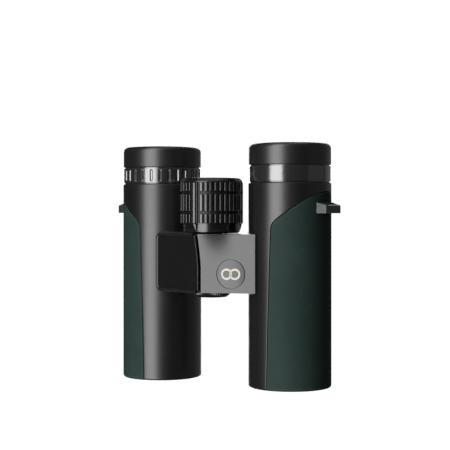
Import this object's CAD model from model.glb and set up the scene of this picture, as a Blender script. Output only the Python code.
"""Looks for the compact roof-prism binoculars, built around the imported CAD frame.

Shapes are worked out in millimetres in the frame's own axes and turned into metres as each piece
is made. The left barrel carries the diopter ring. -Y is the side with the bridge covers.
"""
import math

import bmesh
import bpy
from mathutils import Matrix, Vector


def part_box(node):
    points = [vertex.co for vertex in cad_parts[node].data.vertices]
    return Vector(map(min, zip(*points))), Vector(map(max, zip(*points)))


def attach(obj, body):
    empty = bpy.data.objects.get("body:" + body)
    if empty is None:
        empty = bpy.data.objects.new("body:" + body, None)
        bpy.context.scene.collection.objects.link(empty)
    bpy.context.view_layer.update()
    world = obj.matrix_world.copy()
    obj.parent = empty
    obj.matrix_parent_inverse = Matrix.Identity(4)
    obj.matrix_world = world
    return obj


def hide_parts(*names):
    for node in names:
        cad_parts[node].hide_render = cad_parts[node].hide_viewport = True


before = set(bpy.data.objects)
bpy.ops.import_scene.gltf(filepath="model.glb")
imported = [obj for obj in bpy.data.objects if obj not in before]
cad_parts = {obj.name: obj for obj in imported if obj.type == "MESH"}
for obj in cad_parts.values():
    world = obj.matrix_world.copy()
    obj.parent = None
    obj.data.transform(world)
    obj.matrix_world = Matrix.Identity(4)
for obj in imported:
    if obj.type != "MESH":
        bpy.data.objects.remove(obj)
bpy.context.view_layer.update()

MM = 0.001
TAU = 2 * math.pi
SIDES = {"left": -1, "right": 1}
ON_AXIS = 0.0001
MERGE_DISTANCE = 0.000001


# ---- sizes read from the frame, in millimetres ----

def extent(node):
    """Lowest and highest corner of a CAD node, in millimetres."""
    low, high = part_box(node)
    return [value / MM for value in low], [value / MM for value in high]


def upright_axis(node):
    """The (x, y) of the vertical axis through the middle of a round node."""
    low, high = extent(node)
    return (low[0] + high[0]) / 2, (low[1] + high[1]) / 2


def heights(node):
    low, high = extent(node)
    return low[2], high[2]


def half_width(node):
    low, high = extent(node)
    return (high[0] - low[0]) / 2


BARREL = {side: upright_axis(f"{side}_eyecup_rubber") for side in SIDES}
HINGE = upright_axis("focus_wheel_grip")
EYECUP_LOW, EYECUP_TOP = heights("left_eyecup_rubber")
EYECUP_RADIUS = half_width("left_eyecup_rubber")
RING_LOW, RING_TOP = heights("right_ocular_ring")
RING_RADIUS = half_width("right_ocular_ring")
SLEEVE_LOW, SLEEVE_TOP = heights("left_eyecup_sleeve")
SLEEVE_RADIUS = half_width("left_eyecup_sleeve")
ARMOR_TOP = heights("left_armor")[1]
ARMOR_RADIUS = 20.0
WHEEL_GRIP_LOW, WHEEL_GRIP_TOP = heights("focus_wheel_grip")
WHEEL_RADIUS = half_width("focus_wheel_grip")
WHEEL_LOW = heights("focus_wheel_hub")[0]
WHEEL_TOP = heights("focus_wheel_cap")[1]
BRIDGE_LOW, BRIDGE_TOP = heights("right_bridge_cover")
CAP_LOW, CAP_TOP = heights("tripod_cap")


# ---- material helpers ----

def new_group(name, inputs, outputs):
    """An empty shader node group with named sockets, and its two ends."""
    group = bpy.data.node_groups.new(name, "ShaderNodeTree")
    for label, kind, value in inputs:
        socket = group.interface.new_socket(label, in_out="INPUT", socket_type=kind)
        if value is not None:
            socket.default_value = value
    for label, kind in outputs:
        group.interface.new_socket(label, in_out="OUTPUT", socket_type=kind)
    return group, group.nodes.new("NodeGroupInput"), group.nodes.new("NodeGroupOutput")


def math_node(tree, operation, first, second=None, clamp=False):
    node = tree.nodes.new("ShaderNodeMath")
    node.operation = operation
    node.use_clamp = clamp
    for index, value in enumerate((first, second)):
        if value is None:
            continue
        if isinstance(value, (int, float)):
            node.inputs[index].default_value = value
        else:
            tree.links.new(value, node.inputs[index])
    return node.outputs[0]


def noise_node(tree, vector, scale, detail=2.0, roughness=0.5):
    node = tree.nodes.new("ShaderNodeTexNoise")
    node.inputs["Detail"].default_value = detail
    node.inputs["Roughness"].default_value = roughness
    tree.links.new(vector, node.inputs["Vector"])
    if isinstance(scale, (int, float)):
        node.inputs["Scale"].default_value = scale
    else:
        tree.links.new(scale, node.inputs["Scale"])
    return node.outputs["Fac"]


def remap(tree, value, low, high, to_low, to_high):
    node = tree.nodes.new("ShaderNodeMapRange")
    tree.links.new(value, node.inputs["Value"])
    for name, bound in (("From Min", low), ("From Max", high), ("To Min", to_low), ("To Max", to_high)):
        if isinstance(bound, (int, float)):
            node.inputs[name].default_value = bound
        else:
            tree.links.new(bound, node.inputs[name])
    return node.outputs["Result"]


def moulded_grain_group():
    """Fine moulded texture: a normal from two sizes of grain, and the roughness that goes with it."""
    group, start, end = new_group(
        "moulded grain",
        [("Grains per metre", "NodeSocketFloat", 2500.0), ("Depth", "NodeSocketFloat", 0.3),
         ("Roughness low", "NodeSocketFloat", 0.3), ("Roughness high", "NodeSocketFloat", 0.5)],
        [("Roughness", "NodeSocketFloat"), ("Normal", "NodeSocketVector")],
    )
    place = group.nodes.new("ShaderNodeTexCoord").outputs["Object"]
    fine = noise_node(group, place, start.outputs["Grains per metre"], 3.0, 0.6)
    patches = noise_node(group, place, 60.0, 4.0, 0.6)
    coarse_scale = math_node(group, "MULTIPLY", start.outputs["Grains per metre"], 0.23)
    coarse = noise_node(group, place, coarse_scale, 2.0)
    height = math_node(group, "ADD", fine, math_node(group, "MULTIPLY", coarse, 0.5))
    bump = group.nodes.new("ShaderNodeBump")
    bump.inputs["Distance"].default_value = 0.00005
    group.links.new(start.outputs["Depth"], bump.inputs["Strength"])
    group.links.new(height, bump.inputs["Height"])
    blend = math_node(group, "ADD", math_node(group, "MULTIPLY", fine, 0.5),
                      math_node(group, "MULTIPLY", patches, 0.5))
    rough = remap(group, blend, 0.35, 0.65, start.outputs["Roughness low"], start.outputs["Roughness high"])
    group.links.new(rough, end.inputs["Roughness"])
    group.links.new(bump.outputs["Normal"], end.inputs["Normal"])
    return group


def rubbed_edge_group():
    """Where corners stick out and hands rub them: a mask broken up by noise."""
    group, start, end = new_group(
        "rubbed edges",
        [("Amount", "NodeSocketFloat", 1.0), ("Sharpness", "NodeSocketFloat", 0.03)],
        [("Mask", "NodeSocketFloat")],
    )
    geometry = group.nodes.new("ShaderNodeNewGeometry")
    place = group.nodes.new("ShaderNodeTexCoord").outputs["Object"]
    limit = math_node(group, "ADD", start.outputs["Sharpness"], 0.5)
    corner = remap(group, geometry.outputs["Pointiness"], 0.505, limit, 0.0, 1.0)
    patches = noise_node(group, place, 420.0, 4.0, 0.7)
    broken = math_node(group, "MULTIPLY", corner, remap(group, patches, 0.35, 0.7, 0.3, 1.0))
    mask = math_node(group, "MULTIPLY", broken, start.outputs["Amount"], clamp=True)
    group.links.new(mask, end.inputs["Mask"])
    return group


def settled_dust_group():
    """Faint dust: more on faces that look up, in soft patches with fine specks."""
    group, start, end = new_group(
        "settled dust", [("Amount", "NodeSocketFloat", 0.2)], [("Mask", "NodeSocketFloat")])
    geometry = group.nodes.new("ShaderNodeNewGeometry")
    place = group.nodes.new("ShaderNodeTexCoord").outputs["Object"]
    split = group.nodes.new("ShaderNodeSeparateXYZ")
    group.links.new(geometry.outputs["Normal"], split.inputs["Vector"])
    upward = remap(group, split.outputs["Z"], -0.2, 1.0, 0.25, 1.0)
    patches = remap(group, noise_node(group, place, 55.0, 5.0, 0.6), 0.4, 0.75, 0.0, 1.0)
    specks = remap(group, noise_node(group, place, 1900.0, 2.0), 0.66, 0.74, 0.0, 1.0)
    body = math_node(group, "ADD", math_node(group, "MULTIPLY", patches, 0.5), specks)
    mask = math_node(group, "MULTIPLY", math_node(group, "MULTIPLY", body, upward),
                     start.outputs["Amount"], clamp=True)
    group.links.new(mask, end.inputs["Mask"])
    return group


GRAIN = moulded_grain_group()
RUBBED = rubbed_edge_group()
DUST = settled_dust_group()


def use_group(tree, group, **values):
    node = tree.nodes.new("ShaderNodeGroup")
    node.node_tree = group
    for label, value in values.items():
        node.inputs[label.replace("_", " ")].default_value = value
    return node


def mixed_colour(tree, factor, base, top):
    """Base colour with a second colour laid over it where the factor says."""
    mix = tree.nodes.new("ShaderNodeMix")
    mix.data_type = "RGBA"
    tree.links.new(factor, mix.inputs["Factor"])
    for socket, colour in ((mix.inputs["A"], base), (mix.inputs["B"], top)):
        if isinstance(colour, tuple):
            socket.default_value = (*colour, 1.0)
        else:
            tree.links.new(colour, socket)
    return mix.outputs["Result"]


def empty_material(name):
    material = bpy.data.materials.new(name)
    material.use_nodes = True
    tree = material.node_tree
    shader = tree.nodes["Principled BSDF"]
    return material, tree, shader


def moulded_material(name, colour, worn, grain=2500.0, depth=0.3, rough=(0.35, 0.5), edge=0.6,
                     dust=0.12, specular=0.5, coat=0.0, coat_rough=0.1):
    """A moulded or painted finish: grain in the normal, rubbed corners and a trace of dust."""
    material, tree, shader = empty_material(name)
    texture = use_group(tree, GRAIN, Grains_per_metre=grain, Depth=depth,
                        Roughness_low=rough[0], Roughness_high=rough[1])
    rubbed = use_group(tree, RUBBED, Amount=edge)
    dusty = use_group(tree, DUST, Amount=dust)
    surface = mixed_colour(tree, rubbed.outputs["Mask"], colour, worn)
    surface = mixed_colour(tree, dusty.outputs["Mask"], surface, (0.16, 0.155, 0.145))
    tree.links.new(surface, shader.inputs["Base Color"])
    tree.links.new(texture.outputs["Roughness"], shader.inputs["Roughness"])
    tree.links.new(texture.outputs["Normal"], shader.inputs["Normal"])
    shader.inputs["Specular IOR Level"].default_value = specular
    shader.inputs["Coat Weight"].default_value = coat
    shader.inputs["Coat Roughness"].default_value = coat_rough
    return material


def grip_green():
    """Dark green grip rubber with a fine stippled skin and a faint mottle in its colour."""
    material, tree, shader = empty_material("grip green rubber")
    place = tree.nodes.new("ShaderNodeTexCoord").outputs["Object"]
    cells = tree.nodes.new("ShaderNodeTexVoronoi")
    cells.inputs["Scale"].default_value = 1500.0
    tree.links.new(place, cells.inputs["Vector"])
    soft = noise_node(tree, place, 700.0, 4.0, 0.7)
    broad = noise_node(tree, place, 90.0, 3.0, 0.55)
    mottle = remap(tree, math_node(tree, "ADD", soft, math_node(tree, "MULTIPLY", broad, 0.6)),
                   0.55, 1.05, 0.0, 1.0)
    green = mixed_colour(tree, mottle, (0.0078, 0.0155, 0.0134), (0.0108, 0.0214, 0.0185))
    rubbed = use_group(tree, RUBBED, Amount=0.35)
    dusty = use_group(tree, DUST, Amount=0.1)
    surface = mixed_colour(tree, rubbed.outputs["Mask"], green, (0.035, 0.065, 0.057))
    surface = mixed_colour(tree, dusty.outputs["Mask"], surface, (0.15, 0.16, 0.15))
    tree.links.new(surface, shader.inputs["Base Color"])
    stipple = math_node(tree, "ADD", cells.outputs["Distance"], math_node(tree, "MULTIPLY", soft, 0.6))
    bump = tree.nodes.new("ShaderNodeBump")
    bump.inputs["Strength"].default_value = 0.55
    bump.inputs["Distance"].default_value = 0.00006
    tree.links.new(stipple, bump.inputs["Height"])
    tree.links.new(bump.outputs["Normal"], shader.inputs["Normal"])
    tree.links.new(remap(tree, soft, 0.3, 0.7, 0.62, 0.8), shader.inputs["Roughness"])
    shader.inputs["Specular IOR Level"].default_value = 0.1
    return material


def turned_metal(name, colour, rough=(0.22, 0.4), lines=5200.0):
    """Bare metal from a lathe: fine rings across the axis and slightly uneven colour."""
    material, tree, shader = empty_material(name)
    place = tree.nodes.new("ShaderNodeTexCoord").outputs["Object"]
    stretch = tree.nodes.new("ShaderNodeMapping")
    stretch.inputs["Scale"].default_value = (0.02, 0.02, 1.0)
    tree.links.new(place, stretch.inputs["Vector"])
    rings = noise_node(tree, stretch.outputs["Vector"], lines, 2.0)
    cloud = noise_node(tree, place, 300.0, 3.0)
    bump = tree.nodes.new("ShaderNodeBump")
    bump.inputs["Strength"].default_value = 0.25
    bump.inputs["Distance"].default_value = 0.00003
    tree.links.new(rings, bump.inputs["Height"])
    tree.links.new(bump.outputs["Normal"], shader.inputs["Normal"])
    tree.links.new(remap(tree, rings, 0.3, 0.7, rough[0], rough[1]), shader.inputs["Roughness"])
    darker = tuple(channel * 0.7 for channel in colour)
    tree.links.new(mixed_colour(tree, cloud, darker, colour), shader.inputs["Base Color"])
    shader.inputs["Metallic"].default_value = 1.0
    return material


def coated_glass(name, tint, film):
    """Clear optical glass with a thin interference coating."""
    material, tree, shader = empty_material(name)
    place = tree.nodes.new("ShaderNodeTexCoord").outputs["Object"]
    haze = noise_node(tree, place, 140.0, 4.0, 0.6)
    tree.links.new(remap(tree, haze, 0.4, 0.8, 0.0, 0.035), shader.inputs["Roughness"])
    tree.links.new(mixed_colour(tree, haze, tint, tuple(min(1.0, c * 1.04) for c in tint)),
                   shader.inputs["Base Color"])
    shader.inputs["Transmission Weight"].default_value = 1.0
    shader.inputs["IOR"].default_value = 1.52
    shader.inputs["Thin Film Thickness"].default_value = film
    shader.inputs["Thin Film IOR"].default_value = 1.9
    return material


def enamel_cream():
    """Cream enamel of the emblem, with a trace of wear."""
    material, tree, shader = empty_material("emblem cream enamel")
    place = tree.nodes.new("ShaderNodeTexCoord").outputs["Object"]
    cloud = noise_node(tree, place, 1600.0, 4.0, 0.6)
    tree.links.new(mixed_colour(tree, cloud, (0.27, 0.255, 0.225), (0.32, 0.305, 0.27)),
                   shader.inputs["Base Color"])
    tree.links.new(remap(tree, cloud, 0.3, 0.7, 0.35, 0.5), shader.inputs["Roughness"])
    return material


ARMOR_BLACK = moulded_material(
    "armor black rubber", (0.0024, 0.0024, 0.0025), (0.014, 0.014, 0.015), grain=5200.0, depth=0.1,
    rough=(0.32, 0.37), edge=0.3, dust=0.02)
EYECUP_BLACK = moulded_material(
    "eyecup black rubber", (0.0026, 0.0026, 0.0027), (0.014, 0.014, 0.015), grain=4200.0, depth=0.1,
    rough=(0.32, 0.37), edge=0.3, dust=0.03)
WHEEL_BLACK = moulded_material(
    "wheel black rubber", (0.003, 0.003, 0.0031), (0.02, 0.02, 0.021), grain=3600.0, depth=0.03,
    rough=(0.19, 0.21), edge=0.3, dust=0.02)
RECESS_BLACK = moulded_material(
    "wheel recess black", (0.002, 0.002, 0.0021), (0.004, 0.004, 0.0041), grain=3600.0, depth=0.1,
    rough=(0.4, 0.46), edge=0.1, dust=0.02, specular=0.22)
HOUSING_BLACK = moulded_material(
    "housing black moulding", (0.0045, 0.0045, 0.0046), (0.035, 0.035, 0.036), grain=2600.0, depth=0.3,
    rough=(0.4, 0.52), edge=0.4, dust=0.06)
COVER_SATIN = moulded_material(
    "cover satin black", (0.0022, 0.0022, 0.0023), (0.05, 0.05, 0.052), grain=6000.0, depth=0.08,
    rough=(0.3, 0.35), edge=0.3, dust=0.01, specular=0.46)
BADGE_SATIN = moulded_material(
    "badge dark satin", (0.0022, 0.0025, 0.0025), (0.03, 0.032, 0.032), grain=7000.0, depth=0.08,
    rough=(0.3, 0.35), edge=0.3, dust=0.01, specular=0.46)
RING_GLOSS = moulded_material(
    "ring gloss black", (0.006, 0.006, 0.0057), (0.03, 0.03, 0.03), grain=900.0, depth=0.01,
    rough=(0.19, 0.21), edge=0.3, dust=0.04, specular=0.9, coat=0.5, coat_rough=0.15)
ANODISED = moulded_material(
    "anodised black", (0.012, 0.012, 0.013), (0.2, 0.2, 0.21), grain=5000.0, depth=0.12,
    rough=(0.3, 0.42), edge=0.5, dust=0.02, specular=0.7)
SEAL_BLACK = moulded_material(
    "seal black rubber", (0.008, 0.008, 0.008), (0.02, 0.02, 0.02), grain=3000.0, depth=0.2,
    rough=(0.5, 0.65), edge=0.2, dust=0.03)
GRIP_GREEN = grip_green()
STEEL = turned_metal("hinge steel", (0.42, 0.42, 0.43))
BLACK_STEEL = turned_metal("blackened steel", (0.03, 0.03, 0.032), rough=(0.35, 0.5))
BRASS = turned_metal("plain brass", (0.72, 0.52, 0.24))
LENS_GLASS = coated_glass("coated lens glass", (0.86, 0.95, 0.92), 420.0)
PRISM_GLASS = coated_glass("prism glass", (0.93, 0.95, 0.94), 0.0)
EMBLEM_CREAM = enamel_cream()

CAD_FINISH = {
    "housing": HOUSING_BLACK,
    "objective_doublet": LENS_GLASS,
    "focus_cell": ANODISED,
    "focus_lens": LENS_GLASS,
    "entry_prism": PRISM_GLASS,
    "roof_prism": PRISM_GLASS,
    "prism_cage": HOUSING_BLACK,
    "ocular_tube": ANODISED,
    "field_lens": LENS_GLASS,
    "eyecup_guide": HOUSING_BLACK,
    "diopter_cell": ANODISED,
    "right_field_cell": ANODISED,
    "tripod_socket": STEEL,
    "hinge_axle": BLACK_STEEL,
    "hinge_washers": BRASS,
    "tripod_cap_seal": SEAL_BLACK,
    "focus_puck": BRASS,
    "focus_spindle": STEEL,
}


def finish_cad_nodes():
    """Gives each CAD piece that stays in view its own finish."""
    for name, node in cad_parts.items():
        key = name if name in CAD_FINISH else name.split("_", 1)[-1]
        if key in CAD_FINISH:
            node.data.materials.clear()
            node.data.materials.append(CAD_FINISH[key])


# ---- mesh helpers ----

def fillet_outline(corners, steps=6, closed=True):
    """Points of an outline of (a, b, fillet radius) corners, each corner rounded by an arc."""
    points = []
    count = len(corners)
    for index, (a, b, radius) in enumerate(corners):
        ends = not closed and index in (0, count - 1)
        if radius <= 0 or ends:
            points.append((a, b))
            continue
        here = Vector((a, b))
        before = Vector(corners[index - 1][:2]) - here
        after = Vector(corners[(index + 1) % count][:2]) - here
        reach = min(before.length, after.length) * 0.499
        before.normalize()
        after.normalize()
        half = before.angle(after) / 2
        tangent = min(radius / math.tan(half), reach)
        radius = tangent * math.tan(half)
        centre = here + (before + after).normalized() * (radius / math.sin(half))
        start = here + before * tangent - centre
        finish = here + after * tangent - centre
        sweep = start.angle_signed(finish)
        for step in range(steps + 1):
            turn = -sweep * step / steps
            cos, sin = math.cos(turn), math.sin(turn)
            points.append((centre.x + start.x * cos - start.y * sin,
                           centre.y + start.x * sin + start.y * cos))
    return points


def column_faces(columns, rows, closed=True):
    """Faces between neighbouring columns, each a closed loop of rows; closed joins last to first."""
    faces = []
    for column in range(columns if closed else columns - 1):
        here = column * rows
        there = ((column + 1) % columns) * rows
        for row in range(rows):
            up = (row + 1) % rows
            faces.append((here + row, there + row, there + up, here + up))
    return faces


def section_faces(sections, size):
    """Faces between neighbouring cross-sections of an open run, each section a closed loop."""
    faces = []
    for section in range(sections - 1):
        here = section * size
        for index in range(size):
            up = (index + 1) % size
            faces.append((here + index, here + up, here + size + up, here + size + index))
    return faces


def lathe_shell(outline, axis, steps=144, start=0.0, swing=None):
    """Vertices and faces of a closed (radius, height) outline turned about an upright axis."""
    verts = []
    rows = len(outline)
    whole = swing is None
    columns = steps if whole else steps + 1
    for column in range(columns):
        angle = start + (TAU if whole else swing) * column / steps
        cos, sin = math.cos(angle), math.sin(angle)
        verts.extend((axis[0] + radius * cos, axis[1] + radius * sin, height) for radius, height in outline)
    faces = column_faces(columns, rows, whole)
    if not whole:
        faces.append(tuple(range(rows)))
        faces.append(tuple(range((columns - 1) * rows, columns * rows)))
    return verts, faces


def join_shells(*shells):
    verts = []
    faces = []
    for shell_verts, shell_faces in shells:
        offset = len(verts)
        verts.extend(shell_verts)
        faces.extend(tuple(index + offset for index in face) for face in shell_faces)
    return verts, faces


def make_piece(name, shell, material, body, replaced=(), crease=40.0):
    """A named object from a shell in millimetres, riding on a body and standing for CAD nodes."""
    verts, faces = shell
    mesh = bpy.data.meshes.new(name)
    mesh.from_pydata([tuple(value * MM for value in vert) for vert in verts], [], faces)
    mesh.validate()
    working = bmesh.new()
    working.from_mesh(mesh)
    bmesh.ops.remove_doubles(working, verts=working.verts, dist=MERGE_DISTANCE)
    bmesh.ops.dissolve_degenerate(working, edges=working.edges, dist=0.0000005)
    bmesh.ops.recalc_face_normals(working, faces=working.faces)
    for edge in working.edges:
        sharp = len(edge.link_faces) == 2 and edge.calc_face_angle(0.0) > math.radians(crease)
        edge.smooth = not sharp
    for face in working.faces:
        face.smooth = True
    working.to_mesh(mesh)
    working.free()
    mesh.materials.append(material)
    piece = bpy.data.objects.new(name, mesh)
    bpy.context.scene.collection.objects.link(piece)
    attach(piece, body)
    if replaced:
        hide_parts(*replaced)
    return piece


def paint_faces(piece, material, axis, wanted):
    """Gives a second material to the faces whose radius about an axis and height are wanted."""
    piece.data.materials.append(material)
    for face in piece.data.polygons:
        spot = face.center / MM
        if wanted(math.hypot(spot.x - axis[0], spot.y - axis[1]), spot.z):
            face.material_index = 1


def add_modifier(piece, kind, **settings):
    modifier = piece.modifiers.new(kind.lower(), kind)
    for name, value in settings.items():
        setattr(modifier, name, value)
    return modifier


def soften(piece, width, segments=3, angle=35.0):
    """Rounds every sharp edge of a piece by a width in millimetres and evens its shading."""
    add_modifier(piece, "BEVEL", width=width * MM, segments=segments, limit_method="ANGLE",
                 angle_limit=math.radians(angle), harden_normals=False)
    add_modifier(piece, "WEIGHTED_NORMAL", keep_sharp=False, weight=80)
    for edge in piece.data.edges:
        edge.use_edge_sharp = False


# ---- barrel skins: black armour and the green panel let into it ----

BASE_FILLET = 1.3
SEAM_FILLET = 0.7
BASE_STEPS = 8
PANEL_MIDDLE = math.radians(98.0)
PANEL_FRONT_LOW = math.radians(0.4)
PANEL_FRONT_HIGH = math.radians(7.0)
PANEL_LEAN_SHARE = 0.86
PANEL_LEAN_POWER = 1.3
PANEL_SHIFT = {"left": math.radians(-8.1), "right": math.radians(-3.1)}
ARCH_FOOT = 78.9
ARCH_RISE = 15.1
ARCH_CORNER = 9.0
ARCH_START = math.radians(20.0)
ARMOR_THICKNESS = 1.3
PANEL_THICKNESS = 1.2
BASE_BORE = 16.9
BASE_LIP_LOW = 0.05
BASE_LIP_TOP = 1.6
GROOVE_ROLL = [
    (0.0, 0.46), (0.07, 0.44), (0.15, 0.34), (0.22, 0.16), (0.3, 0.05), (0.4, 0.012), (0.55, 0.0)]


def skin_radius(z):
    """Radius of the armour's outside at a height, with its rounded base and top edge."""
    if z < BASE_FILLET:
        rise = BASE_FILLET - max(z, 0.0)
        return ARMOR_RADIUS - BASE_FILLET + math.sqrt(BASE_FILLET ** 2 - rise ** 2)
    if z > ARMOR_TOP - SEAM_FILLET:
        rise = z - (ARMOR_TOP - SEAM_FILLET)
        return ARMOR_RADIUS - SEAM_FILLET + math.sqrt(max(SEAM_FILLET ** 2 - rise ** 2, 0.0))
    return ARMOR_RADIUS


def panel_edge(count=110):
    """The panel's front edge as (distance round the barrel, height) points from base to peak."""
    corner_height = ARCH_FOOT + ARCH_RISE * math.cos(PANEL_FRONT_HIGH - PANEL_MIDDLE)
    corners = []
    lean_steps = 12
    for step in range(lean_steps):
        share = PANEL_LEAN_SHARE * step / lean_steps
        angle = PANEL_FRONT_LOW + (PANEL_FRONT_HIGH - PANEL_FRONT_LOW) * share ** PANEL_LEAN_POWER
        corners.append((angle * ARMOR_RADIUS, corner_height * share, 0.0))
    corners.append((PANEL_FRONT_HIGH * ARMOR_RADIUS, corner_height, ARCH_CORNER))
    arch_steps = 60
    for step in range(arch_steps + 1):
        angle = ARCH_START + (PANEL_MIDDLE - ARCH_START) * step / arch_steps
        height = ARCH_FOOT + ARCH_RISE * math.cos(angle - PANEL_MIDDLE)
        corners.append((angle * ARMOR_RADIUS, height, 0.0))
    path = [Vector(point) for point in fillet_outline(corners, 10, closed=False)]
    lengths = [0.0]
    for before, after in zip(path, path[1:]):
        lengths.append(lengths[-1] + (after - before).length)
    base_stops = [BASE_FILLET * (1 - math.cos(math.pi / 2 * step / BASE_STEPS))
                  for step in range(BASE_STEPS)]
    rest = [BASE_FILLET + (lengths[-1] - BASE_FILLET) * step / count for step in range(count + 1)]
    points = []
    segment = 0
    for stop in base_stops + rest:
        while segment < len(path) - 2 and lengths[segment + 1] < stop:
            segment += 1
        share = (stop - lengths[segment]) / (lengths[segment + 1] - lengths[segment])
        points.append(path[segment].lerp(path[segment + 1], min(max(share, 0.0), 1.0)))
    return points


def edge_normals(points):
    """Unit vectors across the panel's front edge, pointing into the panel."""
    normals = []
    last = len(points) - 1
    for index in range(len(points)):
        along = points[min(index + 1, last)] - points[max(index - 1, 0)]
        normals.append(Vector((along.y, -along.x)).normalized())
    normals[-1] = Vector((0.0, -1.0))
    return normals


def skin_vertex(side, around, height, depth):
    angle = around / ARMOR_RADIUS + PANEL_SHIFT[side]
    radius = skin_radius(height) - depth
    centre = BARREL[side]
    return (centre[0] + SIDES[side] * radius * math.sin(angle),
            centre[1] - radius * math.cos(angle), height)


def grid_faces(rows, columns):
    faces = []
    for row in range(rows - 1):
        for column in range(columns - 1):
            corner = row * columns + column
            faces.append((corner, corner + 1, corner + columns + 1, corner + columns))
    return faces


def panel_shell(side, columns=56):
    """The panel: rows run across it, from its front edge to the mirrored back edge."""
    points = panel_edge()
    verts = []
    middle = PANEL_MIDDLE * ARMOR_RADIUS
    for point, inward in zip(points, edge_normals(points)):
        near = []
        for distance, depth in GROOVE_ROLL:
            spot = point + inward * distance
            near.append((spot.x, max(spot.y, 0.0), depth))
        inner, height, _ = near[-1]
        row = list(near)
        for column in range(1, columns):
            row.append((inner + (2 * middle - 2 * inner) * column / columns, height, 0.0))
        row.extend((2 * middle - around, high, depth) for around, high, depth in reversed(near))
        verts.extend(skin_vertex(side, *spot) for spot in row)
    return verts, grid_faces(len(points), len(verts) // len(points))


def armor_shell(side, columns=150):
    """The armour round the panel, then whole rings above the panel's peak."""
    points = panel_edge()
    middle = PANEL_MIDDLE * ARMOR_RADIUS
    round_trip = TAU * ARMOR_RADIUS
    rows = []
    for point, inward in zip(points, edge_normals(points)):
        near = []
        for distance, depth in GROOVE_ROLL:
            spot = point - inward * distance
            near.append((spot.x, max(spot.y, 0.0), depth))
        outer, height, _ = near[-1]
        far_start = 2 * middle - outer
        row = [(2 * middle - around, high, depth) for around, high, depth in near]
        for column in range(1, columns):
            across = far_start + (outer + round_trip - far_start) * column / columns
            row.append((across, height, 0.0))
        row.extend((around + round_trip, high, depth) for around, high, depth in reversed(near))
        rows.append(row)
    peak_row = rows[-1]
    start = peak_row[len(GROOVE_ROLL) - 1][1]
    stops = [start + (ARMOR_TOP - SEAM_FILLET - start) * step / 5 for step in range(1, 6)]
    stops += [ARMOR_TOP - SEAM_FILLET * (1 - math.sin(math.pi / 2 * step / 5)) for step in range(1, 6)]
    for height in stops:
        rows.append([(around, height, 0.0) for around, _, _ in peak_row])
    verts = [skin_vertex(side, *spot) for row in rows for spot in row]
    return verts, grid_faces(len(rows), len(rows[0]))


def make_barrel_skin(side):
    armor = make_piece(f"{side}_armor_skin", armor_shell(side), ARMOR_BLACK, f"{side}_barrel",
                       (f"{side}_armor",), crease=60)
    add_modifier(armor, "SOLIDIFY", thickness=ARMOR_THICKNESS * MM, offset=-1.0)
    panel = make_piece(f"{side}_grip_skin", panel_shell(side), GRIP_GREEN, f"{side}_barrel",
                       (f"{side}_grip_panel",), crease=60)
    add_modifier(panel, "SOLIDIFY", thickness=PANEL_THICKNESS * MM, offset=-1.0)
    lip = fillet_outline([
        (BASE_BORE, BASE_LIP_LOW, 0.4),
        (ARMOR_RADIUS - BASE_FILLET + 0.3, BASE_LIP_LOW, 0.0),
        (ARMOR_RADIUS - BASE_FILLET + 0.6, BASE_LIP_TOP, 0.0),
        (BASE_BORE, BASE_LIP_TOP, 0.3),
    ])
    make_piece(f"{side}_base_lip", lathe_shell(lip, BARREL[side]), ARMOR_BLACK, f"{side}_barrel")


# ---- rings and eyecups ----

LIP_RADIUS = 19.05
LIP_BORE = 18.1
LIP_PLAY = 0.06
LIP_OVERLAP = 0.6
RING_BORE = 18.0
RING_FLOOR_BORE = 14.0
RING_FLOOR = 1.5
RING_ROUNDING = 0.35


def in_seam(radius, z):
    """Whether a spot lies on a seam lip and not on the ring itself."""
    return radius < LIP_RADIUS + 0.02 and not RING_LOW < z < RING_TOP


def seam_lips(side):
    """Two thin lips that close the seams above and below a barrel's ring."""
    shells = []
    for low, high in ((ARMOR_TOP + LIP_PLAY, RING_LOW + LIP_OVERLAP),
                      (RING_TOP - LIP_OVERLAP, EYECUP_LOW - LIP_PLAY)):
        outline = fillet_outline([
            (LIP_BORE, low, 0.05), (LIP_RADIUS, low, 0.05),
            (LIP_RADIUS, high, 0.05), (LIP_BORE, high, 0.05)], 2)
        shells.append(lathe_shell(outline, BARREL[side]))
    return shells


def make_plain_ring():
    """The plain glossy ring under the right eyecup."""
    outline = fillet_outline([
        (RING_FLOOR_BORE, RING_LOW, 0.1),
        (RING_RADIUS, RING_LOW, RING_ROUNDING),
        (RING_RADIUS, RING_TOP, RING_ROUNDING),
        (RING_BORE, RING_TOP, 0.25),
        (RING_BORE, RING_LOW + RING_FLOOR, 0.3),
        (RING_FLOOR_BORE, RING_LOW + RING_FLOOR, 0.1),
    ])
    band = lathe_shell(outline, BARREL["right"], 180)
    ring = make_piece("right_ocular_band", join_shells(band, *seam_lips("right")), RING_GLOSS,
                      "right_barrel", ("right_ocular_ring",))
    paint_faces(ring, RECESS_BLACK, BARREL["right"], in_seam)


def inside_distance(across, along, half_wide, half_long, corner):
    """Distance inside the edge of a rounded rectangle, negative outside it."""
    over_wide = abs(across) - (half_wide - corner)
    over_long = abs(along) - (half_long - corner)
    beyond = math.hypot(max(over_wide, 0.0), max(over_long, 0.0))
    return corner - beyond - min(max(over_wide, over_long), 0.0)


def relief_shell(axis, angles, stops, radius_at, core):
    """A closed ring whose outer radius comes from radius_at(angle, height), with a plain bore."""
    verts = []
    rows = len(stops) + 2
    for angle in angles:
        cos, sin = math.cos(angle), math.sin(angle)
        column = [(core, stops[-1]), (core, stops[0])]
        column += [(radius_at(angle, height), height) for height in stops]
        verts.extend((axis[0] + r * cos, axis[1] + r * sin, z) for r, z in column)
    return verts, column_faces(len(angles), rows)


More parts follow.
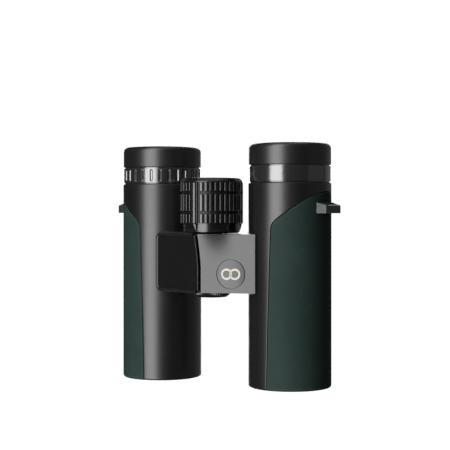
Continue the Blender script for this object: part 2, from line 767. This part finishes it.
PILL_COUNT = 28
PILL_TURN = TAU / PILL_COUNT / 2
PILL_HALF_WIDE = 0.78
PILL_HALF_LONG = 3.05
PILL_DEPTH = 0.45
PILL_WALL = 0.42
PILL_STOPS = [0.0, 0.2, 0.33, 0.36, 0.4, 0.5, 0.62, 0.73, 0.78, 0.82, 1.1, 1.6]


def ring_edge(height):
    """How far the ring's outside is drawn in by its rounded top and bottom edges."""
    nearest = max(min(height - RING_LOW, RING_TOP - height), 0.0)
    if nearest >= RING_ROUNDING:
        return 0.0
    return RING_ROUNDING - math.sqrt(RING_ROUNDING ** 2 - (RING_ROUNDING - nearest) ** 2)


def diopter_radius(angle, height):
    pitch = TAU / PILL_COUNT
    offset = ((angle - PILL_TURN + pitch / 2) % pitch - pitch / 2) * RING_RADIUS
    middle = (RING_LOW + RING_TOP) / 2
    distance = inside_distance(offset, height - middle, PILL_HALF_WIDE, PILL_HALF_LONG, PILL_HALF_WIDE)
    depth = 0.0
    if distance > 0.0:
        depth = PILL_DEPTH * min(distance / PILL_WALL, 1.0)
    return RING_RADIUS - ring_edge(height) - depth


def make_diopter_ring():
    """The diopter ring: round-ended hollows all round a glossy band."""
    pitch = TAU / PILL_COUNT
    angles = []
    for number in range(PILL_COUNT):
        middle = PILL_TURN + pitch * number
        angles += [middle - stop / RING_RADIUS for stop in reversed(PILL_STOPS[1:])]
        angles += [middle + stop / RING_RADIUS for stop in PILL_STOPS]
        angles.append(middle + pitch / 2)
    centre = (RING_LOW + RING_TOP) / 2
    ends = [0.0, 0.03, 0.1, 0.2, 0.35]
    half = [PILL_HALF_LONG - PILL_HALF_WIDE + stop for stop in PILL_STOPS if stop <= PILL_HALF_WIDE]
    half = [0.0, 0.8, 1.6] + half
    stops = [RING_LOW + end for end in ends]
    stops += [centre - stop for stop in reversed(half[1:])] + [centre + stop for stop in half]
    stops += [RING_TOP - end for end in reversed(ends)]
    stops = sorted(set(round(stop, 4) for stop in stops))
    band = relief_shell(BARREL["left"], angles, stops, diopter_radius, RING_BORE)
    floor = fillet_outline([
        (RING_FLOOR_BORE, RING_LOW, 0.1),
        (LIP_BORE, RING_LOW, 0.1),
        (LIP_BORE, RING_LOW + RING_FLOOR, 0.1),
        (RING_FLOOR_BORE, RING_LOW + RING_FLOOR, 0.1),
    ], 2)
    base = lathe_shell(floor, BARREL["left"])
    shell = join_shells(band, base, *seam_lips("left"))
    ring = make_piece("diopter_band", shell, RING_GLOSS, "diopter_ring",
                      ("diopter_ring",), crease=50)
    paint_faces(ring, RECESS_BLACK, BARREL["left"], in_seam)


def make_eyecup(side):
    cup = fillet_outline([
        (SLEEVE_RADIUS + 0.1, EYECUP_LOW, 0.15),
        (EYECUP_RADIUS, EYECUP_LOW, 0.35),
        (EYECUP_RADIUS, EYECUP_TOP, 2.67),
        (14.6, EYECUP_TOP - 0.12, 1.2),
        (13.3, EYECUP_TOP - 1.9, 0.6),
        (13.3, SLEEVE_TOP + 0.1, 0.3),
        (SLEEVE_RADIUS + 0.1, SLEEVE_TOP + 0.1, 0.1),
    ], 8)
    make_piece(f"{side}_eyecup_soft_cup", lathe_shell(cup, BARREL[side], 180), EYECUP_BLACK,
               f"{side}_eyecup", (f"{side}_eyecup_rubber",), crease=60)
    sleeve = fillet_outline([
        (15.6, SLEEVE_LOW, 0.2),
        (SLEEVE_RADIUS, SLEEVE_LOW, 0.3),
        (SLEEVE_RADIUS, SLEEVE_LOW + 1.6, 0.1),
        (SLEEVE_RADIUS - 0.25, SLEEVE_LOW + 1.9, 0.1),
        (SLEEVE_RADIUS - 0.25, SLEEVE_LOW + 2.5, 0.1),
        (SLEEVE_RADIUS, SLEEVE_LOW + 2.8, 0.1),
        (SLEEVE_RADIUS, SLEEVE_TOP, 0.2),
        (15.6, SLEEVE_TOP, 0.2),
    ], 3)
    make_piece(f"{side}_eyecup_tube", lathe_shell(sleeve, BARREL[side]), ANODISED, f"{side}_eyecup",
               (f"{side}_eyecup_sleeve",))


# ---- glass and its rings ----

def lens_outline(radius, low, high, sag, rim=0.25, steps=14):
    """A closed half section of a lens whose two faces bulge by sag, with ground rims."""
    points = []
    for step in range(steps + 1):
        r = (radius - rim) * step / steps
        points.append((max(r, ON_AXIS), low + sag * (r / radius) ** 2))
    points.append((radius, low + sag + rim * 0.6))
    points.append((radius, high - sag - rim * 0.6))
    for step in range(steps, -1, -1):
        r = (radius - rim) * step / steps
        points.append((max(r, ON_AXIS), high - sag * (r / radius) ** 2))
    return points


def make_glass(side):
    low, high = heights(f"{side}_objective_lens")
    front = lens_outline(half_width(f"{side}_objective_lens"), low, high, 1.5)
    make_piece(f"{side}_front_glass", lathe_shell(front, BARREL[side], 96), LENS_GLASS, f"{side}_barrel",
               (f"{side}_objective_lens",), crease=30)
    low, high = heights(f"{side}_eye_lens")
    eye = lens_outline(half_width(f"{side}_eye_lens"), low, high, 1.7)
    make_piece(f"{side}_eye_glass", lathe_shell(eye, BARREL[side], 96), LENS_GLASS, f"{side}_barrel",
               (f"{side}_eye_lens",), crease=30)
    low, high = heights(f"{side}_objective_ring")
    outline = [(17.1, low), (17.1, high), (16.3, high)]
    ridges = 9
    pitch = (high - low - 1.4) / ridges
    for ridge in range(ridges):
        top = high - pitch * ridge
        outline += [(16.35, top - pitch * 0.25), (16.02, top - pitch * 0.75)]
    outline += [(16.02, low + 0.9), (16.5, low)]
    make_piece(f"{side}_objective_retainer", lathe_shell(outline, BARREL[side], 120), ANODISED,
               f"{side}_barrel", (f"{side}_objective_ring",), crease=25)
    low, high = heights(f"{side}_eye_lens")
    collar = fillet_outline([
        (11.3, high - 0.5, 0.1),
        (12.28, high - 0.5, 0.0),
        (12.28, high + 1.7, 0.1),
        (11.9, high + 1.7, 0.1),
        (11.3, high - 0.1, 0.1),
    ], 3)
    make_piece(f"{side}_eye_lens_retainer", lathe_shell(collar, BARREL[side], 96), ANODISED,
               f"{side}_barrel")


# ---- strap lugs ----

LUG_FOOT = 18.6
LUG_REACH = 24.3
LUG_HALF = 7.1
LUG_SLOPE = 1.6
LUG_LEAN = {"left": 1.25, "right": 0.0}
LUG_CORNER = 1.1
SLOT_NEAR = 20.9
SLOT_FAR = 22.7
SLOT_HALF = 5.2


def make_strap_lug(side):
    """A flat strap loop with a slot, its top sloping down towards its outer end."""
    low_corner, high_corner = extent(f"{side}_strap_lug")
    low, root = low_corner[2], high_corner[2]
    outer = fillet_outline([
        (LUG_FOOT, -LUG_HALF, 0.0), (LUG_REACH, -LUG_HALF + LUG_LEAN[side], LUG_CORNER),
        (LUG_REACH, LUG_HALF, LUG_CORNER), (LUG_FOOT, LUG_HALF, 0.0)], 6)
    inner = fillet_outline([
        (SLOT_NEAR, -SLOT_HALF, 0.5), (SLOT_FAR, -SLOT_HALF, 0.5),
        (SLOT_FAR, SLOT_HALF, 0.5), (SLOT_NEAR, SLOT_HALF, 0.5)], 3)

    def top(u):
        return root - LUG_SLOPE * min(max((u - SLOT_NEAR) / (LUG_REACH - SLOT_NEAR), 0.0), 1.0)

    def on_barrel(u, v, z):
        centre = BARREL[side]
        return centre[0] + SIDES[side] * u, centre[1] + v, z

    working = bmesh.new()
    loops = []
    for outline in (outer, inner):
        for is_top in (False, True):
            ring = [working.verts.new(on_barrel(u, v, top(u) if is_top else low)) for u, v in outline]
            loops.append(ring)
            for index, vert in enumerate(ring):
                working.edges.new((vert, ring[(index + 1) % len(ring)]))
    outer_low, outer_top, inner_low, inner_top = loops
    for lower, upper in ((outer_low, outer_top), (inner_low, inner_top)):
        for index in range(len(lower)):
            step = (index + 1) % len(lower)
            working.faces.new((lower[index], lower[step], upper[step], upper[index]))
    for pair in ((outer_low, inner_low), (outer_top, inner_top)):
        edges = [working.edges.get((ring[i], ring[(i + 1) % len(ring)])) for ring in pair
                 for i in range(len(ring))]
        bmesh.ops.triangle_fill(working, edges=edges, use_beauty=True, use_dissolve=False)
    working.verts.index_update()
    verts = [tuple(vert.co) for vert in working.verts]
    faces = [tuple(vert.index for vert in face.verts) for face in working.faces]
    working.free()
    lug = make_piece(f"{side}_strap_loop", (verts, faces), HOUSING_BLACK, f"{side}_barrel",
                     (f"{side}_strap_lug",))
    soften(lug, 0.28, 3)


# ---- bridge covers and badge ----

COVER_LINES = {
    "right": ((4.5, -22.0), (30.3, -14.3)),
    "left": ((2.9, -22.2), (-27.5, -12.8)),
}
COVER_THICKNESS = 1.85
SWELL_FOOT = 57.6
SWELL_TOP = 3.0
SWELL_REACH = 17.0
BADGE_ALONG = 14.96
BADGE_HEIGHT = 54.6
BADGE_RADIUS = 6.9
BADGE_SEAT_RADIUS = 7.15
BADGE_SEAT_DEPTH = 0.6
EMBLEM_SHIFT = 2.05
EMBLEM_BORE = 1.75
EMBLEM_RADIUS = 2.75
EMBLEM_PROUD = 0.28


def cover_axes(side):
    """Start of a cover at its ridge, the unit vector along it and the one out of its face."""
    (x0, y0), (x1, y1) = COVER_LINES[side]
    start = Vector((x0, y0, 0.0))
    run = Vector((x1 - x0, y1 - y0, 0.0))
    along = run.normalized()
    outward = Vector((along.y, -along.x, 0.0))
    if outward.y > 0:
        outward = -outward
    return start, along, outward, run.length


def swell(along, height):
    """How far the cover's face stands forward of its flat plane, towards the wheel and the ridge."""
    rise = min(max((height - SWELL_FOOT) / (BRIDGE_TOP - SWELL_FOOT), 0.0), 1.0)
    fade = min(max(along / SWELL_REACH, 0.0), 1.0)
    return SWELL_TOP * rise ** 1.35 * (0.5 + 0.5 * math.cos(math.pi * fade)) ** 1.1


def make_cover(side):
    start, along, outward, length = cover_axes(side)
    trim = 0.85 if side == "left" else 0.0
    inset = 0.75 if side == "left" else 0.0
    low, high = BRIDGE_LOW + inset, BRIDGE_TOP - inset
    columns, rows = 64, 64
    verts = []
    for layer in (0, 1):
        for row in range(rows + 1):
            height = low + (high - low) * row / rows
            for column in range(columns + 1):
                share = column / columns
                if layer == 0:
                    distance = length * share
                    spot = start + along * distance
                    forward = swell(distance, height)
                    spot = spot + Vector((0.0, -forward * 0.985, 0.0))
                else:
                    distance = trim + (length - 1.2 - trim) * share
                    spot = start + along * distance - outward * COVER_THICKNESS
                verts.append((spot.x, spot.y, height))
    wide = columns + 1
    layer_size = wide * (rows + 1)
    faces = []
    for face in grid_faces(rows + 1, wide):
        faces.append(face)
        faces.append(tuple(index + layer_size for index in reversed(face)))
    for row in range(rows):
        for column in (0, columns):
            corner = row * wide + column
            faces.append((corner, corner + wide, corner + wide + layer_size, corner + layer_size))
    for column in range(columns):
        for row in (0, rows):
            corner = row * wide + column
            faces.append((corner, corner + 1, corner + 1 + layer_size, corner + layer_size))
    cover = make_piece(f"{side}_cover_plate", (verts, faces), COVER_SATIN, f"{side}_barrel",
                       (f"{side}_bridge_cover",))
    if side == "right":
        cut_badge_seat(cover)
    soften(cover, 0.55 if side == "left" else 0.35, 4)


def tube_shell(path, across, outward, section):
    """A closed tube: section (a, b) points placed on each path point along two unit vectors."""
    verts = []
    size = len(section)
    for spot, side_way, out_way in zip(path, across, outward):
        verts.extend(tuple(spot + side_way * a + out_way * b) for a, b in section)
    faces = section_faces(len(path), size)
    faces.append(tuple(range(size)))
    faces.append(tuple(range((len(path) - 1) * size, len(path) * size)))
    return verts, faces


RIM_RADIUS = 0.95
RIM_CORNER = 2.5
RIM_DEPTH = 0.3
RIM_FORWARD = 2.7
RIM_START = 1.3
RIM_STEP = 1.2
RIM_SIDES = 16


def make_cover_rim():
    """The rounded rubber lip that frames the left cover above, below and at its outer end."""
    start, along, outward, length = cover_axes("left")
    low, high = BRIDGE_LOW + 0.35, BRIDGE_TOP - 0.3
    far = length + 0.75
    line = fillet_outline([
        (RIM_START, high, 0.0), (far, high, RIM_CORNER),
        (far, low, RIM_CORNER), (RIM_START, low, 0.0)], 10, closed=False)
    dense = []
    for before, after in zip(line, line[1:]):
        gap = math.dist(before, after)
        pieces = max(1, int(gap / RIM_STEP))
        for step in range(pieces):
            share = step / pieces
            dense.append(tuple(a + (b - a) * share for a, b in zip(before, after)))
    dense.append(line[-1])
    path = []
    across = []
    for index, (distance, height) in enumerate(dense):
        before = dense[max(index - 1, 0)]
        after = dense[min(index + 1, len(dense) - 1)]
        run = Vector((after[0] - before[0], after[1] - before[1])).normalized()
        forward = min(swell(distance, height), RIM_FORWARD)
        spot = start + along * distance - outward * RIM_DEPTH
        path.append(Vector((spot.x, spot.y - forward, height)))
        across.append(along * run.y + Vector((0.0, 0.0, -run.x)))
    section = []
    for step in range(RIM_SIDES):
        turn = TAU * step / RIM_SIDES
        section.append((RIM_RADIUS * math.cos(turn), RIM_RADIUS * math.sin(turn)))
    rim = tube_shell(path, across, [outward] * len(path), section)
    make_piece("left_cover_rim", rim, ARMOR_BLACK, "left_barrel", crease=60)


ARM_ANGLES = {"right": (168.0, 240.0), "left": (308.0, 372.0)}


def make_arm_fillets(side):
    """Concave rubber fillets where the arm meets the barrel, above and below."""
    first, last = (math.radians(angle) for angle in ARM_ANGLES[side])
    shells = []
    for level, way, sweep in ((BRIDGE_TOP, 1, 1.7), (BRIDGE_LOW, -1, 1.2)):
        root = ARMOR_RADIUS - 0.6
        outline = [(root, level - way * 0.5), (root, level + way * (sweep + 0.1))]
        for step in range(9):
            turn = math.pi / 2 * step / 8
            radius = ARMOR_RADIUS + sweep - sweep * math.cos(turn)
            outline.append((radius, level + way * (sweep - sweep * math.sin(turn) + 0.02)))
        outline.append((ARMOR_RADIUS + sweep, level - way * 0.5))
        shells.append(lathe_shell(outline, BARREL[side], 40, first, last - first))
    make_piece(f"{side}_arm_fillets", join_shells(*shells), ARMOR_BLACK, f"{side}_barrel",
               crease=50)


def badge_shell(outline, shift=0.0, steps=96):
    """A (radius, proud) outline turned about the badge's own axis, which faces out of the cover."""
    start, along, outward, _ = cover_axes("right")
    centre = start + along * (BADGE_ALONG + shift) + Vector((0.0, 0.0, BADGE_HEIGHT))
    verts, faces = lathe_shell(outline, (0.0, 0.0), steps)
    placed = [centre + along * x + Vector((0.0, 0.0, 1.0)) * y + outward * z for x, y, z in verts]
    return [tuple(spot) for spot in placed], faces


def cut_badge_seat(cover):
    """Sinks a shallow round seat for the badge into the right cover."""
    verts, faces = badge_shell([
        (ON_AXIS, -BADGE_SEAT_DEPTH), (BADGE_SEAT_RADIUS, -BADGE_SEAT_DEPTH),
        (BADGE_SEAT_RADIUS, 2.0), (ON_AXIS, 2.0)])
    mesh = bpy.data.meshes.new("badge_seat_cutter")
    mesh.from_pydata([tuple(value * MM for value in vert) for vert in verts], [], faces)
    working = bmesh.new()
    working.from_mesh(mesh)
    bmesh.ops.remove_doubles(working, verts=working.verts, dist=MERGE_DISTANCE)
    bmesh.ops.recalc_face_normals(working, faces=working.faces)
    working.to_mesh(mesh)
    working.free()
    cutter = bpy.data.objects.new("badge_seat_cutter", mesh)
    bpy.context.scene.collection.objects.link(cutter)
    modifier = add_modifier(cover, "BOOLEAN", object=cutter, operation="DIFFERENCE", solver="EXACT")
    bpy.context.view_layer.update()
    depsgraph = bpy.context.evaluated_depsgraph_get()
    result = bpy.data.meshes.new_from_object(cover.evaluated_get(depsgraph))
    cover.modifiers.remove(modifier)
    cover.data = result
    bpy.data.objects.remove(cutter)


def make_badge():
    disc = fillet_outline([
        (ON_AXIS, -0.45, 0.0), (BADGE_RADIUS, -0.45, 0.0),
        (BADGE_RADIUS, 0.06, 0.12), (ON_AXIS, 0.06, 0.0)], 4)
    make_piece("badge_plate", badge_shell(disc), BADGE_SATIN, "right_barrel",
               ("badge_disc",))
    rings = []
    for shift in (-EMBLEM_SHIFT, EMBLEM_SHIFT):
        outline = fillet_outline([
            (EMBLEM_BORE, 0.0, 0.0),
            (EMBLEM_RADIUS, 0.0, 0.0),
            (EMBLEM_RADIUS, EMBLEM_PROUD, 0.12),
            (EMBLEM_BORE, EMBLEM_PROUD, 0.12),
        ], 3)
        rings.append(badge_shell(outline, shift, 64))
    make_piece("badge_rings", join_shells(*rings), EMBLEM_CREAM, "right_barrel",
               ("badge_emblem",))


# ---- focus wheel ----

RIBS_PER_SPINE = 11
RIB_FIRST = math.radians(13.3)
RIB_PITCH = math.radians(9.34)
RIB_HALF = 0.94
RIB_PROUD = 0.95
RIB_SHOULDER = 0.5
RIB_ROUND = 0.6
RIB_CORNER = 0.5
RIB_STOPS = [0.0, 0.25, 0.44, 0.54, 0.64, 0.73, 0.81, 0.88, 0.94, 0.99, 1.06]
SPINE_TURN = math.radians(1.2)
SPINE_HALF = 1.45
SPINE_PROUD = 0.8
SPINE_VALLEY = 0.36
SPINE_SHOULDER = [(1.0, 0.28), (0.97, 0.13), (0.9, 0.04), (0.8, 0.0)]
COLLAR_RADIUS = 13.95
COLLAR_FLARE = 0.15
WHEEL_CORE = 12.4
BANDS = [(78.75, 83.3), (84.55, 92.85), (94.15, 98.6)]
TIP_LOW = 75.0


def rib_profile(distance):
    """Height of a rib above the floor at a distance inside its edge: a crown with round shoulders."""
    if distance <= -0.05:
        return 0.0
    full = RIB_PROUD - RIB_ROUND + math.sqrt(RIB_ROUND ** 2 - RIB_SHOULDER ** 2)
    if distance <= 0.0:
        return full * (1.0 + distance / 0.05)
    if distance >= RIB_SHOULDER:
        return RIB_PROUD
    return RIB_PROUD - RIB_ROUND + math.sqrt(RIB_ROUND ** 2 - (RIB_SHOULDER - distance) ** 2)


def spine_angle(angle):
    """Angle from the nearest spine."""
    pitch = TAU / 3
    return (angle - SPINE_TURN + math.pi / 2 + pitch / 2) % pitch - pitch / 2


def wheel_floor(height):
    """Radius of the wheel under its ribs: a narrower collar below them, then straight."""
    if height >= WHEEL_GRIP_LOW:
        return WHEEL_RADIUS - RIB_PROUD
    share = (height - WHEEL_LOW) / (WHEEL_GRIP_LOW - WHEEL_LOW)
    return COLLAR_RADIUS + COLLAR_FLARE * share


def wheel_radius(angle, height):
    offset = spine_angle(angle)
    near = round((abs(offset) - RIB_FIRST) / RIB_PITCH)
    near = min(max(near, 0), RIBS_PER_SPINE - 1)
    beside = (abs(offset) - RIB_FIRST - near * RIB_PITCH) * WHEEL_RADIUS
    best = 0.0
    for low, high in BANDS:
        middle = (low + high) / 2
        distance = inside_distance(beside, height - middle, RIB_HALF, (high - low) / 2, RIB_CORNER)
        best = max(best, rib_profile(distance))
    return wheel_floor(height) + best


def spine_shell(middle):
    """One upright spine with a valley along it, drawn out to a point on the collar."""
    top = BANDS[-1][1]
    levels = [TIP_LOW + (BANDS[0][0] - TIP_LOW) * step / 8 for step in range(1, 9)]
    levels += [82.0, 86.0, 90.0, 94.0, top - 0.5, top - 0.2, top - 0.05, top]
    verts = []
    for level in levels:
        taper = min((level - TIP_LOW) / (BANDS[0][0] - TIP_LOW), 1.0)
        closing = 0.35 * max(level - (top - 0.5), 0.0) ** 2 / 0.25
        floor = wheel_floor(level)
        wide = SPINE_HALF * taper
        crest = floor + SPINE_PROUD * taper ** 0.8 - closing
        valley = SPINE_VALLEY * taper
        half = [(1.0, floor - 0.5)] + [(share, crest - drop) for share, drop in SPINE_SHOULDER]
        section = [(-share, radius) for share, radius in half]
        section += [(-0.1, crest - valley * 0.88), (0.0, crest - valley), (0.1, crest - valley * 0.88)]
        section += [(share, radius) for share, radius in reversed(half)]
        for share, radius in section:
            angle = middle + share * wide / WHEEL_RADIUS
            verts.append((HINGE[0] + radius * math.cos(angle), HINGE[1] + radius * math.sin(angle), level))
    size = len(section)
    faces = section_faces(len(levels), size)
    faces.append(tuple(reversed(range(size))))
    faces.append(tuple(range((len(levels) - 1) * size, len(levels) * size)))
    return verts, faces


def wheel_angles():
    """Angles of the grip's columns, lined up with every edge of the ribs."""
    half = [mark / WHEEL_RADIUS for mark in (0.0, 0.9, 1.8)]
    for number in range(RIBS_PER_SPINE // 2 + 1):
        middle = RIB_FIRST + RIB_PITCH * number
        half += [middle - stop / WHEEL_RADIUS for stop in reversed(RIB_STOPS[1:])]
        if number < RIBS_PER_SPINE // 2:
            half += [middle + stop / WHEEL_RADIUS for stop in RIB_STOPS]
        else:
            half.append(middle)
    sector = [-angle for angle in reversed(half[1:-1])] + half
    start = SPINE_TURN - math.pi / 2
    return [start + TAU * turn / 3 + angle for turn in range(3) for angle in sector]


def wheel_stops():
    """Heights of the grip's rows, close together where bands begin and end."""
    stops = [WHEEL_LOW + 0.35, 76.0, WHEEL_GRIP_LOW - 0.08, WHEEL_GRIP_LOW]
    ramp = [-0.05, 0.0, 0.06, 0.14, 0.24, 0.34, 0.44, 0.55, 0.8]
    for low, high in BANDS:
        stops += [low + step for step in ramp]
        stops += [low + (high - low) * share for share in (0.3, 0.5, 0.7)]
        stops += [high - step for step in reversed(ramp)]
    stops.append(WHEEL_GRIP_TOP - 0.1)
    return stops


def make_wheel():
    grip = relief_shell(HINGE, wheel_angles(), wheel_stops(), wheel_radius, WHEEL_CORE)
    spines = [spine_shell(SPINE_TURN - math.pi / 2 + TAU * turn / 3) for turn in range(3)]
    ribs = make_piece("focus_wheel_ribs", join_shells(grip, *spines), WHEEL_BLACK, "focus_wheel",
                      ("focus_wheel_grip",), crease=40)
    floor = WHEEL_RADIUS - RIB_PROUD + 0.15
    paint_faces(ribs, RECESS_BLACK, HINGE, lambda radius, z: radius < floor and z > BANDS[0][0] - 0.1)
    collar = fillet_outline([
        (5.6, WHEEL_LOW - 0.5, 0.1),
        (13.2, WHEEL_LOW - 0.5, 0.3),
        (13.5, WHEEL_LOW - 0.1, 0.1),
        (COLLAR_RADIUS, WHEEL_LOW, 0.25),
        (COLLAR_RADIUS, WHEEL_LOW + 0.5, 0.0),
        (12.3, WHEEL_LOW + 0.5, 0.0),
        (12.3, WHEEL_GRIP_TOP - 0.2, 0.0),
        (5.6, WHEEL_GRIP_TOP - 0.2, 0.0),
    ])
    make_piece("focus_wheel_collar", lathe_shell(collar, HINGE), WHEEL_BLACK, "focus_wheel",
               ("focus_wheel_hub",))
    crown = fillet_outline([
        (2.6, WHEEL_GRIP_TOP - 0.15, 0.0),
        (WHEEL_RADIUS - 0.1, WHEEL_GRIP_TOP - 0.15, 0.2),
        (WHEEL_RADIUS - 0.1, WHEEL_GRIP_TOP + 0.15, 0.3),
        (14.2, WHEEL_TOP, 0.8),
        (11.2, WHEEL_TOP, 0.4),
        (10.6, WHEEL_TOP - 0.45, 0.4),
        (4.2, WHEEL_TOP - 0.45, 0.4),
        (3.6, WHEEL_TOP - 0.9, 0.2),
        (2.6, WHEEL_TOP - 0.9, 0.0),
    ])
    make_piece("focus_wheel_crown", lathe_shell(crown, HINGE), WHEEL_BLACK, "focus_wheel",
               ("focus_wheel_cap",))
    screw = fillet_outline([
        (ON_AXIS, WHEEL_GRIP_TOP, 0.0),
        (2.5, WHEEL_GRIP_TOP, 0.0),
        (2.5, WHEEL_TOP - 0.5, 0.25),
        (1.2, WHEEL_TOP - 0.5, 0.1),
        (1.2, WHEEL_TOP - 1.2, 0.1),
        (ON_AXIS, WHEEL_TOP - 1.2, 0.0),
    ])
    make_piece("focus_wheel_set_screw", lathe_shell(screw, HINGE, 60), ANODISED, "focus_wheel",
               ("focus_wheel_screw",))


# ---- tripod cap ----

CAP_TEETH = 60
CAP_TOOTH_DEPTH = 0.28
STEPS_PER_TOOTH = 8


def make_cap():
    """The knurled cap at the foot of the hinge."""
    steps = CAP_TEETH * STEPS_PER_TOOTH
    outline = [
        (ON_AXIS, CAP_LOW + 0.25), (6.3, CAP_LOW + 0.25), (6.6, CAP_LOW + 0.05), (7.2, CAP_LOW),
        (7.5, CAP_LOW + 0.12), (8.9, CAP_LOW + 1.25), (9.05, CAP_LOW + 1.5), (9.1, CAP_TOP - 0.25),
        (8.95, CAP_TOP), (8.25, CAP_TOP), (8.25, CAP_TOP - 0.5), (5.95, CAP_TOP - 0.5),
        (5.95, CAP_LOW + 1.05), (ON_AXIS, CAP_LOW + 1.05)]
    verts = []
    for step in range(steps):
        angle = TAU * step / steps
        tooth = CAP_TOOTH_DEPTH * (0.5 - 0.5 * math.cos(angle * CAP_TEETH))
        for index, (radius, height) in enumerate(outline):
            depth = tooth if 4 <= index <= 7 else 0.0
            verts.append((HINGE[0] + (radius - depth) * math.cos(angle),
                          HINGE[1] + (radius - depth) * math.sin(angle), height))
    faces = column_faces(steps, len(outline))
    make_piece("tripod_screw_cap", (verts, faces), WHEEL_BLACK, "tripod_cap",
               ("tripod_cap",), crease=30)


# ---- stage, light and camera ----

CAMERA_AZIMUTH = math.radians(33.25)
CAMERA_DISTANCE = 655.4
CAMERA_HEIGHT = 85.4
CAMERA_LENS = 105.3
CAMERA_SHIFT = (0.0019, -0.0345)
FLOOR_HALF = 6.0
BACKDROP_WHITE = 1.05
ROOM_DIM = 0.06


def make_stage():
    mesh = bpy.data.meshes.new("floor")
    corners = [(-FLOOR_HALF, -FLOOR_HALF, 0), (FLOOR_HALF, -FLOOR_HALF, 0),
               (FLOOR_HALF, FLOOR_HALF, 0), (-FLOOR_HALF, FLOOR_HALF, 0)]
    mesh.from_pydata(corners, [], [(0, 1, 2, 3)])
    floor = bpy.data.objects.new("floor", mesh)
    bpy.context.scene.collection.objects.link(floor)
    floor.location.z = -0.0002
    material, tree, shader = empty_material("pale floor")
    tree.nodes.remove(shader)
    glow = tree.nodes.new("ShaderNodeEmission")
    glow.inputs["Color"].default_value = (1, 1, 1, 1)
    glow.inputs["Strength"].default_value = BACKDROP_WHITE
    clear = tree.nodes.new("ShaderNodeBsdfTransparent")
    path = tree.nodes.new("ShaderNodeLightPath")
    facing = tree.nodes.new("ShaderNodeNewGeometry")
    above = math_node(tree, "SUBTRACT", 1.0, facing.outputs["Backfacing"])
    seen = math_node(tree, "MULTIPLY", path.outputs["Is Camera Ray"], above)
    choose = tree.nodes.new("ShaderNodeMixShader")
    tree.links.new(seen, choose.inputs["Fac"])
    tree.links.new(clear.outputs[0], choose.inputs[1])
    tree.links.new(glow.outputs[0], choose.inputs[2])
    tree.links.new(choose.outputs[0], tree.nodes["Material Output"].inputs["Surface"])
    mesh.materials.append(material)


def make_world():
    world = bpy.data.worlds.new("studio")
    bpy.context.scene.world = world
    world.use_nodes = True
    tree = world.node_tree
    tree.nodes.clear()
    dim = tree.nodes.new("ShaderNodeBackground")
    dim.inputs["Color"].default_value = (0.9, 0.95, 1.0, 1)
    dim.inputs["Strength"].default_value = ROOM_DIM
    white = tree.nodes.new("ShaderNodeBackground")
    white.inputs["Color"].default_value = (1, 1, 1, 1)
    white.inputs["Strength"].default_value = BACKDROP_WHITE
    path = tree.nodes.new("ShaderNodeLightPath")
    choose = tree.nodes.new("ShaderNodeMixShader")
    tree.links.new(path.outputs["Is Camera Ray"], choose.inputs["Fac"])
    tree.links.new(dim.outputs[0], choose.inputs[1])
    tree.links.new(white.outputs[0], choose.inputs[2])
    output = tree.nodes.new("ShaderNodeOutputWorld")
    tree.links.new(choose.outputs[0], output.inputs["Surface"])


def soft_light(name, azimuth, distance, height, width, tall, brightness):
    """A soft rectangular light that faces the binoculars; azimuth as for the camera."""
    angle = math.radians(azimuth)
    light = bpy.data.lights.new(name, "AREA")
    light.shape = "RECTANGLE"
    light.size = width
    light.size_y = tall
    light.energy = brightness * math.pi * width * tall
    lamp = bpy.data.objects.new(name, light)
    bpy.context.scene.collection.objects.link(lamp)
    lamp.location = (distance * math.sin(angle), -distance * math.cos(angle), height)
    aim = Vector((0, 0, height)) - lamp.location
    lamp.rotation_euler = aim.to_track_quat("-Z", "Y").to_euler()
    return lamp


def make_lights():
    """Two bright softboxes, two weak fills and one light straight overhead that points down."""
    soft_light("front softbox", azimuth=-3.65, distance=0.46, height=0.06,
               width=0.3, tall=1.5, brightness=7.9)
    soft_light("rear softbox", azimuth=213.0, distance=0.9, height=0.1,
               width=0.45, tall=1.4, brightness=5.0)
    soft_light("rear fill", azimuth=185.0, distance=1.5, height=0.06,
               width=2.4, tall=2.4, brightness=0.18)
    soft_light("right fill", azimuth=112.0, distance=1.5, height=0.1,
               width=1.6, tall=2.0, brightness=0.14)
    overhead = soft_light("overhead softbox", azimuth=0.0, distance=0.0, height=1.1,
                          width=1.0, tall=1.0, brightness=0.9)
    overhead.rotation_euler = (0.0, 0.0, 0.0)


def make_camera():
    camera = bpy.data.cameras.new("camera")
    holder = bpy.data.objects.new("camera", camera)
    bpy.context.scene.collection.objects.link(holder)
    middle_y = BARREL["right"][1]
    holder.location = (
        CAMERA_DISTANCE * math.sin(CAMERA_AZIMUTH) * MM,
        (middle_y - CAMERA_DISTANCE * math.cos(CAMERA_AZIMUTH)) * MM,
        CAMERA_HEIGHT * MM,
    )
    holder.rotation_euler = (math.pi / 2, 0.0, CAMERA_AZIMUTH)
    camera.sensor_width = 36.0
    camera.lens = CAMERA_LENS
    camera.shift_x, camera.shift_y = CAMERA_SHIFT
    camera.clip_start = 0.01
    bpy.context.scene.camera = holder


make_camera()
make_world()
make_lights()
make_stage()
finish_cad_nodes()
for side_name in SIDES:
    make_barrel_skin(side_name)
    make_eyecup(side_name)
    make_glass(side_name)
    make_strap_lug(side_name)
    make_cover(side_name)
    make_arm_fillets(side_name)
make_cover_rim()
make_plain_ring()
make_diopter_ring()
make_badge()
make_wheel()
make_cap()
bpy.context.scene.view_settings.view_transform = "Standard"
